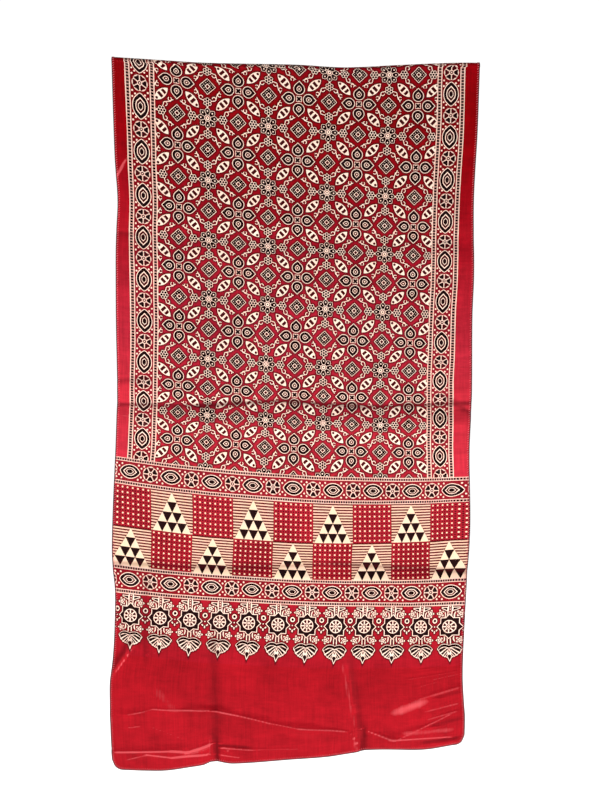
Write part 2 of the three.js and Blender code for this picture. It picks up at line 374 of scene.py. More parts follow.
def place_of(column, across, along):
    """The point of the sheet's middle surface at a share across and a length from the front hem."""
    over = (along - column["crest"]) / FOLD_RADIUS
    if abs(over) <= math.pi / 2:
        return Vector((
            column["x"],
            FOLD_RADIUS * math.sin(over),
            column["arch"] + FOLD_RADIUS * math.cos(over),
        ))
    if over < 0:
        z = smooth_at(column["heights"], along)
        down = (column["arch"] - z) / (column["arch"] - column["heights"][0][1])
        x = smooth_at(LEFT_SIDE, z) * (1 - across) + smooth_at(RIGHT_SIDE, z) * across
        x += print_drift(across, z)
        lift = fold_lift(MAIN_FOLDS, x, z) + fold_lift(WAVES, x, z)
        lift += crease_lift(x, z) + crumple(x, z, FRONT_SEED)
        settle = smooth_step(down, 0, SETTLE_SHARE)
        parting = math.sin(max(0, min(1, down)) * math.pi / 2)
        return Vector((x, -FOLD_RADIUS - FRONT_DRIFT * parting - settle * lift, z))
    back_start = column["crest"] + ARC
    down = (along - back_start) / (CUT_LENGTH - back_start)
    z = column["arch"] + (column["back_hem"] - column["arch"]) * down
    parting = math.sin(down * math.pi / 2)
    inset = BACK_SIDE_INSET * parting
    left = smooth_at(LEFT_SIDE, z) + inset
    right = smooth_at(RIGHT_SIDE, z) - inset
    x = left * (1 - across) + right * across
    lift = fold_lift(BACK_WAVES, x, z) - crumple(x, z, BACK_SEED) * BACK_CRUMPLE
    settle = smooth_step(down, 0, SETTLE_SHARE)
    return Vector((x, FOLD_RADIUS + BACK_DRIFT * parting - settle * lift, z))

# %% [markdown]
# The sheet starts as a flat grid with one face for each few millimetres of cloth. It is laid out
# flat first, and its flat place is stored as a map, so that the print can be drawn on the flat
# cloth. Then each vertex moves to where it hangs, and the sheet gets its real thickness.

# %% Flat grid with its print map
PRINT_MAP = "print_map"
BAKE_MAP = "OFBake"
# The crease map holds each fine crease's lift in millimetres; the silk paints its highlights and
# shade from it.
CREASE_MAP = "crease"
FULL_CREASE = 0.001

columns = len(ACROSS_LINES)
rows = len(ALONG_LINES)
cloth = bmesh.new()
bmesh.ops.create_grid(cloth, x_segments=columns - 1, y_segments=rows - 1, size=0.5)
print("flat grid vertices", len(cloth.verts), "faces", len(cloth.faces))

crease_layer = cloth.verts.layers.float.new(CREASE_MAP)
flat_place = cloth.verts.layers.float_vector.new("flat_place")
grid_vertices = {}
for vertex in cloth.verts:
    column = round((vertex.co.x + 0.5) * (columns - 1))
    row = round((vertex.co.y + 0.5) * (rows - 1))
    vertex[flat_place] = (ACROSS_LINES[column], ALONG_LINES[row], 0)
    grid_vertices[column, row] = vertex

# %% Which printed region each face lies in
REGIONS = ["plain_silk", "side_border", "field", "band", "checker", "finials"]


def region_of(across, along):
    """The region at a place on the flat cloth, the same from both ends."""
    end = min(along, CUT_LENGTH - along)
    if end < FINIALS_START:
        return "plain_silk"
    if end < LOWER_BAND_START:
        return "finials"
    if end < CHECKER_START or UPPER_BAND_START < end < FIELD_START:
        return "band"
    if end < UPPER_BAND_START:
        return "checker"
    if across < LEFT_BORDER[0] or across > RIGHT_BORDER[1]:
        return "plain_silk"
    if across < LEFT_BORDER[1] or across > RIGHT_BORDER[0]:
        return "side_border"
    return "field"


print_layer = cloth.loops.layers.uv.new(PRINT_MAP)
bake_layer = cloth.loops.layers.uv.new(BAKE_MAP)
for face in cloth.faces:
    face.smooth = True
    middle = sum((Vector(v[flat_place]) for v in face.verts), Vector()) / len(face.verts)
    face.material_index = REGIONS.index(region_of(middle.x, middle.y))
    for loop in face.loops:
        loop[print_layer].uv = Vector(loop.vert[flat_place]).xy

# %% Hang the grid over the line
hanging = [column_of(across / CUT_WIDTH) for across in ACROSS_LINES]
for (column, row), vertex in grid_vertices.items():
    vertex.co = place_of(hanging[column], ACROSS_LINES[column] / CUT_WIDTH, ALONG_LINES[row])
    # The front's fine creases keep their lift in the crease map, for the painted highlight and
    # painted shade.
    if ALONG_LINES[row] < FOLD_ZONE[0]:
        vertex[crease_layer] = crease_lift(vertex.co.x, vertex.co.z) / FULL_CREASE
bmesh.ops.recalc_face_normals(cloth, faces=cloth.faces)
cloth.normal_update()
front_face = min(cloth.faces, key=lambda face: face.calc_center_median().y)
if front_face.normal.y > 0:
    bmesh.ops.reverse_faces(cloth, faces=cloth.faces)
lowest = min(vertex.co.z for vertex in cloth.verts)
highest = max(vertex.co.z for vertex in cloth.verts)
print("hung from", round(highest, 4), "to", round(lowest, 4))

# %% The rim of the cloth, kept for its stitching
last_column = columns - 1
last_row = rows - 1
rim_places = [(column, 0) for column in range(last_column)]
rim_places += [(last_column, row) for row in range(last_row)]
rim_places += [(column, last_row) for column in range(last_column, 0, -1)]
rim_places += [(0, row) for row in range(last_row, 0, -1)]
rim = [grid_vertices[place].co.copy() for place in rim_places]
rim_normals = [grid_vertices[place].normal.copy() for place in rim_places]
rim_starts = [0]
for place, next_place in zip(rim, rim[1:] + rim[:1]):
    rim_starts.append(rim_starts[-1] + (next_place - place).length)
print("rim", round(rim_starts[-1], 3), "m round")

# %% Real thickness
CLOTH_THICKNESS = 0.0006

outer_faces = set(cloth.faces)
outer_vertices = set(cloth.verts)
solid = bmesh.ops.solidify(cloth, geom=cloth.faces[:], thickness=CLOTH_THICKNESS)
inner_faces = {item for item in solid["geom"] if isinstance(item, bmesh.types.BMFace)}
INNER_SLOT = len(REGIONS)
EDGE_SLOT = INNER_SLOT + 1
for face in cloth.faces:
    if face in inner_faces:
        face.material_index = INNER_SLOT
    elif face not in outer_faces:
        face.material_index = EDGE_SLOT
        face.smooth = False
print("faces", len(cloth.faces), "of which inside", len(inner_faces))

# %% [markdown]
# A second map packs the whole surface into one square, for anyone who paints or bakes it. The
# printed side gets nearly all of the room: its front half and its back half stand side by side.
# The plain inner side is squeezed into a narrow strip, because it has almost nothing to show, and
# each of the four cut edges gets a line of its own above the halves.

# %% Second map
HALF_LENGTH = CUT_LENGTH / 2 + 0.05
BAKE_SQUARE = 1.165
BAKE_GAP = 0.006
HALF_WIDTH = CUT_WIDTH + 2 * BAKE_GAP
STRIP_START = 2 * HALF_WIDTH
STRIP_WIDTH = BAKE_SQUARE - STRIP_START - BAKE_GAP
EDGE_LINES_START = HALF_LENGTH + 2 * BAKE_GAP
ON_THE_EDGE = 0.0001


def edge_line_of(spots):
    """Which of the four sides of the flat cloth a rim face lies on."""
    if all(u < ON_THE_EDGE for u, v in spots):
        return 0
    if all(u > CUT_WIDTH - ON_THE_EDGE for u, v in spots):
        return 1
    return 2 if all(v < ON_THE_EDGE for u, v in spots) else 3


for face in cloth.faces:
    spots = [tuple(loop[print_layer].uv) for loop in face.loops]
    second_half = sum(v for u, v in spots) / len(spots) > HALF_LENGTH
    edge_line = edge_line_of(spots)
    for loop, (u, v) in zip(face.loops, spots):
        if face in outer_faces:
            x = BAKE_GAP + u + HALF_WIDTH * second_half
            y = BAKE_GAP + v - HALF_LENGTH * second_half
        elif face in inner_faces:
            x = STRIP_START + u / CUT_WIDTH * STRIP_WIDTH
            y = BAKE_GAP + v / CUT_LENGTH * (BAKE_SQUARE - 2 * BAKE_GAP)
        else:
            x = BAKE_GAP + (v / 2 if edge_line < 2 else u)
            y = EDGE_LINES_START + BAKE_GAP * (2 * edge_line + (loop.vert in outer_vertices))
        loop[bake_layer].uv = (x / BAKE_SQUARE, y / BAKE_SQUARE)

cloth_mesh = bpy.data.meshes.new("stole_cloth")
cloth.to_mesh(cloth_mesh)
cloth.free()
stole = add_object("stole_cloth", cloth_mesh)
triangles = sum(len(polygon.vertices) - 2 for polygon in cloth_mesh.polygons)
print("stole_cloth triangles", triangles)

# %% [markdown]
# The edge is finished by an overlock machine. Its needle thread crosses the edge in short slanted
# stitches, paler than the cloth: partly its own colour, partly a painted highlight along the hem.
# Its looper thread runs along the very edge, near black: partly its own colour, partly painted
# shade at the edge. Both are curves with a thin round section, turned into meshes: fifteen hundred
# stitches, so each has few faces.

# %% Stitching along the edge
STITCH_PITCH = 0.0035
STITCH_RADIUS = 0.00036
LOOPER_PITCH = 0.00175
LOOPER_RADIUS = 0.0008
LOOPER_INWARD = -0.00035
LOOPER_OUTWARD = -0.0003
LOOPER_SWING = 0.00025
# Columns: how far along, inward from the edge and out of the cloth's face, in metres.
STITCH_SHAPE = [
    (0, 0.0027, 0.0002), (0.0009, 0.0011, 0.0004), (0.0016, -0.0003, -0.0003),
    (0.0020, 0.0010, -0.0010), (0.0025, 0.0024, -0.0009),
]


def on_rim(distance, inward, outward):
    """A point beside the rim, a distance round it from the front hem's left corner."""
    distance %= rim_starts[-1]
    i = bisect.bisect_right(rim_starts, distance) - 1
    following = (i + 1) % len(rim)
    share = (distance - rim_starts[i]) / (rim_starts[i + 1] - rim_starts[i])
    normal = rim_normals[i].lerp(rim_normals[following], share).normalized()
    towards_cloth = normal.cross(rim[following] - rim[i]).normalized()
    place = rim[i].lerp(rim[following], share)
    return place + towards_cloth * inward + normal * outward


def thread_piece(name, strokes, radius, closed):
    """One mesh of round threads through the given points."""
    path = bpy.data.curves.new(name, "CURVE")
    path.dimensions = "3D"
    path.bevel_depth = radius
    path.bevel_resolution = 0
    path.use_fill_caps = True
    for points in strokes:
        spline = path.splines.new("POLY")
        spline.points.add(len(points) - 1)
        for spline_point, point in zip(spline.points, points):
            spline_point.co = (*point, 1)
        spline.use_cyclic_u = closed
    path_object = bpy.data.objects.new(name + "_path", path)
    mesh = bpy.data.meshes.new_from_object(path_object)
    bpy.data.objects.remove(path_object)
    bpy.data.curves.remove(path)
    mesh.name = name
    mesh.shade_smooth()
    print(name, "faces", len(mesh.polygons))
    return add_object(name, mesh)


stitch_count = round(rim_starts[-1] / STITCH_PITCH)
stitch_strokes = []
for stitch in range(stitch_count):
    start = rim_starts[-1] * stitch / stitch_count
    stitch_strokes.append([on_rim(start + a, inward, out) for a, inward, out in STITCH_SHAPE])
overlock = thread_piece("overlock_stitches", stitch_strokes, STITCH_RADIUS, False)

looper_count = round(rim_starts[-1] / LOOPER_PITCH / 2) * 2
looper_points = []
for k in range(looper_count):
    outward = LOOPER_OUTWARD + LOOPER_SWING * (-1) ** k
    looper_points.append(on_rim(rim_starts[-1] * k / looper_count, LOOPER_INWARD, outward))
looper = thread_piece("looper_thread", [looper_points], LOOPER_RADIUS, True)

# %% [markdown]
# Materials. One small function adds a node with its settings and links. It gives back a Reading,
# which is whatever that node says at each point of the cloth. Readings can be added, compared and
# folded with each other, and each such word in the table below stands for one Math node. So a
# motif is written as it would be drawn: a distance, a comparison, a colour.

# %% Readings and the one function that adds a node
class Reading:
    """What a node gives at every point of a surface."""

    def __init__(self, tree, socket):
        self.tree = tree
        self.socket = socket

    def part(self, number):
        """Another output of the same node."""
        return Reading(self.tree, self.socket.node.outputs[number])


def add_node(tree, kind, inputs=(), output=0, stops=(), blend="LINEAR", **settings):
    """Adds a node: inputs are a list in order or a dict by name, and None leaves one as it is."""
    node = tree.nodes.new("ShaderNode" + kind)
    for name, value in settings.items():
        setattr(node, name, value)
    if stops:
        ramp = node.color_ramp
        ramp.interpolation = blend
        ramp.elements.remove(ramp.elements[1])
        ramp.elements[0].position, ramp.elements[0].color = stops[0]
        for position, colour in stops[1:]:
            ramp.elements.new(position).color = colour
    shown = [socket for socket in node.inputs if socket.enabled]
    if isinstance(inputs, dict):
        pairs = [(next(s for s in shown if s.name == name), v) for name, v in inputs.items()]
    else:
        pairs = list(zip(shown, inputs))
    for socket, value in pairs:
        if isinstance(value, Reading):
            tree.links.new(value.socket, socket)
        elif value is not None:
            socket.default_value = value
    outputs = [socket for socket in node.outputs if socket.enabled]
    return Reading(tree, outputs[output]) if outputs else None


def math_word(operation, turned=False):
    """A word for readings that stands for one Math node."""
    def word(self, *others):
        values = [self, *others]
        if turned:
            values.reverse()
        return add_node(self.tree, "Math", values, operation=operation)
    return word


MATH_WORDS = {
    "__add__": "ADD", "__sub__": "SUBTRACT", "__mul__": "MULTIPLY", "__truediv__": "DIVIDE",
    "__lt__": "LESS_THAN", "__gt__": "GREATER_THAN", "__abs__": "ABSOLUTE", "least": "MINIMUM",
    "most": "MAXIMUM", "there_and_back": "PINGPONG", "repeat": "WRAP", "angle_from": "ARCTAN2",
    "whole": "FLOOR", "times_plus": "MULTIPLY_ADD", "cosine": "COSINE", "to_power": "POWER",
}
for word, operation in MATH_WORDS.items():
    setattr(Reading, word, math_word(operation))
Reading.__rsub__ = math_word("SUBTRACT", turned=True)

# %% Colours
def linear(hex_colour):
    """A hex sRGB colour as linear red, green, blue and a full alpha."""
    parts = [int(hex_colour[i:i + 2], 16) / 255 for i in (1, 3, 5)]
    return tuple(c / 12.92 if c <= 0.04045 else ((c + 0.055) / 1.055) ** 2.4 for c in parts) + (1,)


CREAM = linear("#FFEEDC")
PEACH = linear("#F8CBB6")
YELLOW_CREAM = linear("#F0D4AB")
BLACK = linear("#100607")
MAROON = linear("#3C030A")
# Painted highlight: the light coral laid along the crests of the fine creases, where they would catch
# the light.
PAINTED_HIGHLIGHT_CORAL = linear("#F26A70")

# The red is darkest in the middle of the length, up at the line, and lighter towards both ends.
# This is partly the madder dye and partly painted sheen: lighter lower down, where the gloss of the
# hanging cloth would catch the light.
# Columns: length from the nearer end in millimetres, colour.
PLAIN_RED = [
    (0, "#A4121E"), (145, "#980C18"), (450, "#B82838"), (560, "#B42432"), (660, "#A82030"),
    (810, "#980E1C"), (960, "#860008"), (1040, "#800004"),
]
PRINTED_RED = [
    (145, "#980E1C"), (450, "#A41E2C"), (700, "#9C182A"), (900, "#880814"), (1040, "#80040A"),
]

# %% [markdown]
# Ajrakh printing takes a block for each colour: a resist that keeps the cloth cream, a black for
# the outlines and a madder red for the small marks. So each motif is drawn as separations, which
# say how much of each block a point got: cream in red, black in green, maroon in blue. The inks
# are mixed with the silk only once, at the end of each material.

# %% Separations and the words for drawing with them
NO_INK = (0, 0, 0, 1)
RESIST = (1, 0, 0, 1)
THIN_RESIST = (0.8, 0, 0, 1)
BLACK_BLOCK = (0, 1, 0, 1)
MAROON_BLOCK = (0, 0, 0.85, 1)
DEEP_BLOCK = (0, 0.5, 0.85, 1)
HALO = (0, 0, 0.8, 1)
DARK_HALO = (0, 0, 0.95, 1)
STRIP_GROUND = (0, 0, 0.42, 1)
CELL_GROUND = (0, 0, 0.12, 1)
BEAD_GAP = (0.35, 0, 0.2, 1)
SIXTH = math.radians(60)


def stamp(under, where, ink):
    """Lays a colour over what is there already: all of it where the mask is 1, none at 0."""
    return add_node(where.tree, "Mix", [where, under, ink], data_type="RGBA")


def stamp_all(ink, *layers):
    """Stamps one block after another. Each layer is its mask and its ink."""
    for where, block in layers:
        ink = stamp(ink, where, block)
    return ink


def any_of(shape, *others):
    """How far outside the nearest of several shapes a place is, or how deep inside if below 0."""
    for other in others:
        shape = shape.least(other)
    return shape


def every(length, pitch):
    """The same length counted from the nearest of many marks, one pitch apart."""
    return length.repeat(pitch / 2, -pitch / 2)


def spot(x, y):
    """Two lengths as one place."""
    return add_node(x.tree, "CombineXYZ", [x, y])


def away(place, x=0, y=0):
    """How far a place is from a point."""
    return add_node(place.tree, "VectorMath", [place, (x, y, 0)], operation="DISTANCE")


def line_through(place, start, end):
    """How far a place is from a straight stroke between two points."""
    run = (end[0] - start[0], end[1] - start[1], 0)
    length_squared = run[0] ** 2 + run[1] ** 2
    from_start = add_node(
        place.tree, "VectorMath", [place, (start[0], start[1], 0)], operation="SUBTRACT"
    )
    share = add_node(place.tree, "VectorMath", [from_start, run], operation="DOT_PRODUCT")
    share = (share * (1 / length_squared)).most(0).least(1)
    foot = spot(share * run[0], share * run[1])
    return add_node(place.tree, "VectorMath", [from_start, foot], operation="DISTANCE")


def rings(depth, scale, *bands):
    """Rings of ink by how deep a point lies inside a motif. Each band is where it starts, its ink."""
    stops = [(start / scale, ink) for start, ink in bands]
    return add_node(depth.tree, "ValToRGB", [depth * (1 / scale)], stops=stops, blend="CONSTANT")


def teardrop_depth(x, y, centre, radius, tip):
    """How deep a point lies in a petal along x: a round end and two sides that meet at its tip."""
    sine = radius / (tip - centre)
    cosine = math.sqrt(1 - sine * sine)
    from_centre = x - centre
    past = (from_centre * sine) + (y * cosine)
    beside = (from_centre * cosine) - (y * sine)
    return radius - away(spot(beside.least(0), past))

# %% [markdown]
# The field repeats every 93.4 mm both ways and is the same under a quarter turn and in a mirror.
# So one eighth of the repeat is enough: the two lengths are folded back and forth into a triangle
# with a four-petalled flower at one corner, a dotted diamond at the next, an eight-petalled
# rosette at the third, and hexagonal seed flowers, leaves and scrolls between them.

# %% Field
REPEAT = 93.4
PRINT_CENTRE = 281
FIRST_FLOWER_ROW = 489.7
TURN_22 = math.radians(22.5)


def draw_field(across, along):
    a = ((across - PRINT_CENTRE) * (1 / REPEAT)).there_and_back(0.5)
    b = ((along - FIRST_FLOWER_ROW) * (1 / REPEAT)).there_and_back(0.5)
    far = a.most(b)
    near = a.least(b)

    on_diagonal = (far + near) * math.sqrt(0.5) - 0.3536
    off_diagonal = (far - near) * math.sqrt(0.5)
    leaf = away(spot(off_diagonal, on_diagonal), -0.139, 0) - 0.206

    beside_hex = 0.5 - far
    above_hex = near - 0.25
    hexagon = spot(beside_hex, abs(above_hex))
    lobe = away(hexagon, 0, 0.0445).least(away(hexagon, 0.0385, 0.0223))
    hex_middle = away(hexagon)
    knot = away(spot(beside_hex, above_hex), 0, 0.084) - 0.015
    hex_flower = any_of(lobe - 0.029, hex_middle - 0.045, knot)

    rosette_x = 0.5 - near
    rosette_y = beside_hex
    over = (rosette_y * math.cos(TURN_22) - rosette_x * math.sin(TURN_22)).most(0) * 2
    petal_x = over.times_plus(math.sin(TURN_22), rosette_x)
    petal_y = over.times_plus(-math.cos(TURN_22), rosette_y)
    small_petal = teardrop_depth(petal_x.most(0.112), petal_y, 0.112, 0.0435, 0.166)
    next_petal = petal_x * math.sin(TURN_22) - abs(petal_y) * math.cos(TURN_22)
    small_petal = small_petal.least(next_petal + 0.002)
    rosette_middle = away(spot(rosette_x, rosette_y))

    petal = teardrop_depth(far, near, 0.162, 0.095, 0.292)
    diamond_out = (beside_hex + near) * math.sqrt(0.5)
    diamond_side = abs(beside_hex - near) * math.sqrt(0.5)
    corner = spot((diamond_out - 0.083).most(0), (diamond_side - 0.083).most(0))
    diamond = 0.0125 - away(corner)

    scroll = spot(beside_hex, 0.25 - near)
    curl_middle = away(scroll, 0.108, 0.062)
    far_curl_middle = away(scroll, 0.192, 0.137)
    opening = (0.108 - beside_hex) * 0.82 + (near - 0.188) * 0.57 - curl_middle * 0.8
    curl = abs(curl_middle - 0.030).most(opening * 8)
    far_curl = abs(far_curl_middle - 0.027).most((beside_hex - 0.192 - far_curl_middle * 0.85) * 8)
    tail = line_through(scroll, (0.165, 0.137), (0.192, 0.190))
    stem = line_through(scroll, (0.133, 0.045), (0.160, 0.150))
    joint = line_through(scroll, (0.108, 0.032), (0.060, 0.020))
    scrolls = any_of(curl, far_curl, tail, stem, joint) - 0.0055

    bend = off_diagonal * off_diagonal * 4
    bar = (abs(on_diagonal - 0.020) - 0.025).most(off_diagonal - 0.047)
    crescent = (abs(on_diagonal + 0.062 - bend) - 0.023).most(off_diagonal - 0.040)
    leaf_seed = away(spot(off_diagonal, on_diagonal), 0, 0.103) - 0.022
    white_seed = away(spot(petal_x, petal_y), 0.112) - 0.0112
    rosette_eye = rings(
        rosette_middle, 0.1, (0, BLACK_BLOCK), (0.0125, RESIST), (0.031, DEEP_BLOCK),
        (0.0435, RESIST),
    )
    petal_rings = rings(
        petal, 0.1, (0, RESIST), (0.0095, BLACK_BLOCK), (0.053, RESIST), (0.0625, DEEP_BLOCK),
        (0.083, RESIST),
    )
    diamond_seeds = away(spot(diamond_out - 0.0595, every(diamond_side - 0.0198, 0.0396)))

    nearest = any_of(leaf, hex_flower, scrolls, 0 - small_petal, 0 - petal, 0 - diamond)
    ink = add_node(across.tree, "ValToRGB", [nearest * 10], stops=[(0.1, HALO), (0.34, NO_INK)])
    return stamp_all(
        ink,
        (scrolls < 0, RESIST),
        (leaf < -0.002, RESIST),
        (any_of(bar, crescent, leaf_seed) < 0, DEEP_BLOCK),
        (hex_flower < -0.002, RESIST),
        (any_of(lobe, hex_middle) < 0.0192, BLACK_BLOCK),
        (small_petal.most(0.075 - rosette_middle) > 0, RESIST),
        (small_petal > 0.0055, BLACK_BLOCK),
        (white_seed < 0, RESIST),
        (rosette_middle < 0.053, rosette_eye),
        (petal > 0, petal_rings),
        (far < 0.046, THIN_RESIST),
        ((far - near).most(far - 0.013) < 0.024, BLACK_BLOCK),
        (diamond > 0, RESIST),
        (diamond_out < 0.087, BLACK_BLOCK),
        (diamond_seeds < 0.0062, RESIST),
        (diamond_out < 0.0325, RESIST),
        (diamond_out < 0.022, DEEP_BLOCK),
    )

# %% [markdown]
# The side borders and the two narrow bands are the same idea: pointed eyes and round flowers take
# turns along a strip of small dots, between two beaded rails. One function draws both, from the
# length along the strip and the distance from its middle line.

# %% Eye and flower strip
def draw_strip(along, off_middle, pitch, strip):
    """Eyes and flowers in turn, with a rail on both sides. Lengths are in millimetres."""
    eye_along = every(along, pitch)
    flower_along = every(along - pitch / 2, pitch)
    beside = abs(off_middle)
    quarter = spot(abs(eye_along), beside)
    dots = any_of(*[away(quarter, *dot) for dot in strip["dots"]])

    eye = strip["eye_radius"] - away(quarter, 0, -strip["eye_offset"])
    pupil = eye.least(strip["eye_core"] - (abs(eye_along) + beside) * 0.6)
    inks = (RESIST, BLACK_BLOCK, RESIST, DEEP_BLOCK, RESIST, BLACK_BLOCK)
    eye_rings = rings(pupil, 14, *zip(strip["eye_rings"], inks))

    middle = away(spot(flower_along, off_middle))
    up, right = (flower_along, off_middle) if strip["upright"] else (off_middle, flower_along)
    angle = up.angle_from(right) - strip["first_heart"]
    from_heart = abs(every(angle, SIXTH)) * middle
    scalloped = from_heart * from_heart * 0.03 + middle
    wedge = (from_heart - middle * 0.57 + 1.0).most(middle - 10 - from_heart * 0.3)
    wedge = wedge.most(from_heart - 4.2).most(3.8 - middle)
    black_turn = abs(every(angle, SIXTH * 2)) < SIXTH / 2

    rail_depth = beside - strip["half_zone"]
    rail_middle = abs(rail_depth - strip["rail"] / 2)
    bead = abs(every(along, strip["bead_pitch"]))
    rail = stamp_all(
        BEAD_GAP,
        (bead < strip["bead_pitch"] * 0.32, BLACK_BLOCK),
        (rail_middle > strip["rail"] / 2 - strip["rail_line"], THIN_RESIST),
    )
    return stamp_all(
        STRIP_GROUND,
        (dots < 1.35, RESIST),
        (eye > 0, eye_rings),
        (scalloped < strip["flower_radius"], THIN_RESIST),
        (wedge < 0, stamp(DEEP_BLOCK, black_turn, BLACK_BLOCK)),
        (middle < 2.6, DEEP_BLOCK),
        (middle < 1.0, RESIST),
        (rail_depth > 0, rail),
    )

# %% Side borders and bands
BORDER_MIDDLE = 39.55
BETWEEN_BORDERS = 480
BORDER_PITCH = 64.85
BORDER_EYE = 484.2
BORDER = {
    "upright": True, "first_heart": 0, "dots": [(12, 11.6), (16.2, 7.4), (20.4, 11.6)],
    "eye_radius": 20.5, "eye_offset": 8.2, "eye_core": 12.4,
    "eye_rings": (0, 1.0, 4.9, 6.1, 8.6, 9.4), "flower_radius": 12,
    "half_zone": 14.4, "rail": 7.55, "rail_line": 1.6, "bead_pitch": 4.5,
}
BAND_MIDDLE = 263.25
BETWEEN_BANDS = 165.45
BAND_PITCH = 64.2
BAND = {
    "upright": False, "first_heart": math.radians(30), "dots": [(13, 11), (17.5, 6.8), (21.5, 10.6)],
    "eye_radius": 17.9, "eye_offset": 6.9, "eye_core": 11.1,
    "eye_rings": (0, 1.0, 4.5, 5.5, 7.3, 8.0), "flower_radius": 12.1,
    "half_zone": 15, "rail": 5.7, "rail_line": 1.15, "bead_pitch": 3.9,
}


def draw_border(across, along):
    off_middle = every(across - BORDER_MIDDLE, BETWEEN_BORDERS)
    return draw_strip(along - BORDER_EYE, off_middle, BORDER_PITCH, BORDER)


def draw_band(across, along):
    off_middle = every(along - BAND_MIDDLE, BETWEEN_BANDS)
    return draw_strip(across - PRINT_CENTRE, off_middle, BAND_PITCH, BAND)

# %% [markdown]
# Dotted red cells take turns with striped cells that hold a tall triangle built of small ones:
# four rows of cream triangles with black ones hanging between them.

# %% Checker
CHECKER_FOOT = 284
CELL = 63.8
CELL_HEIGHT = 62
DOTS_IN_CELL = 8
STRIPE = 4.43
BIG_TRIANGLE = 61.2
SMALL_BASE = 15.1
SMALL_HEIGHT = 15.3


def draw_checker(across, along):
    from_centre = across - PRINT_CENTRE
    even = abs(every(from_centre, CELL * 2)) < CELL / 2
    above_foot = along - CHECKER_FOOT
    upper = above_foot > CELL_HEIGHT
    x = every(from_centre, CELL)
    height = above_foot.repeat(CELL_HEIGHT, 0)

    wide = CELL / DOTS_IN_CELL
    high = CELL_HEIGHT / DOTS_IN_CELL
    dot = spot(abs(every(x - wide / 2, wide)), abs(every(height - high / 2, high)))
    dark_dots = any_of(away(dot, wide / 2, high / 2), away(dot, wide / 2), away(dot, 0, high / 2))
    dotted = stamp_all(CELL_GROUND, (dark_dots < 1.05, DEEP_BLOCK), (away(dot) < 1.35, RESIST))

    striped = stamp(MAROON_BLOCK, above_foot.repeat(STRIPE, 0) < STRIPE * 0.48, THIN_RESIST)
    half_width = (BIG_TRIANGLE - height) * (SMALL_BASE * 2 / BIG_TRIANGLE)
    inside = abs(x) < half_width
    level = (height * (1 / SMALL_HEIGHT)).whole()
    rise = height * (1 / SMALL_HEIGHT) - level
    from_cream = abs(every((level + 1) * (SMALL_BASE / 2) + x, SMALL_BASE))
    hanging = from_cream - (1 - rise) * (SMALL_BASE / 2)
    black = (hanging + 0.4).least((0.99 - rise) * SMALL_HEIGHT) > 0
    striped = stamp(striped, inside, stamp(RESIST, black, BLACK_BLOCK))
    return stamp(dotted, abs(even - upper), striped)

# %% [markdown]
# The finial row ends the print on both ends. Each unit is an eight-pointed black star with a wheel
# in it, sprigs at its four corners, and a palmette hanging below. Units stand 46.7 mm apart, and
# between them hang a ring, a dot and a three-petalled sprig. All of it is the same in a mirror, so
# it is drawn for one side only.

# %% Finials
UNIT = 46.7
FIRST_UNIT = 306.85
ROSETTE_HEIGHT = 211


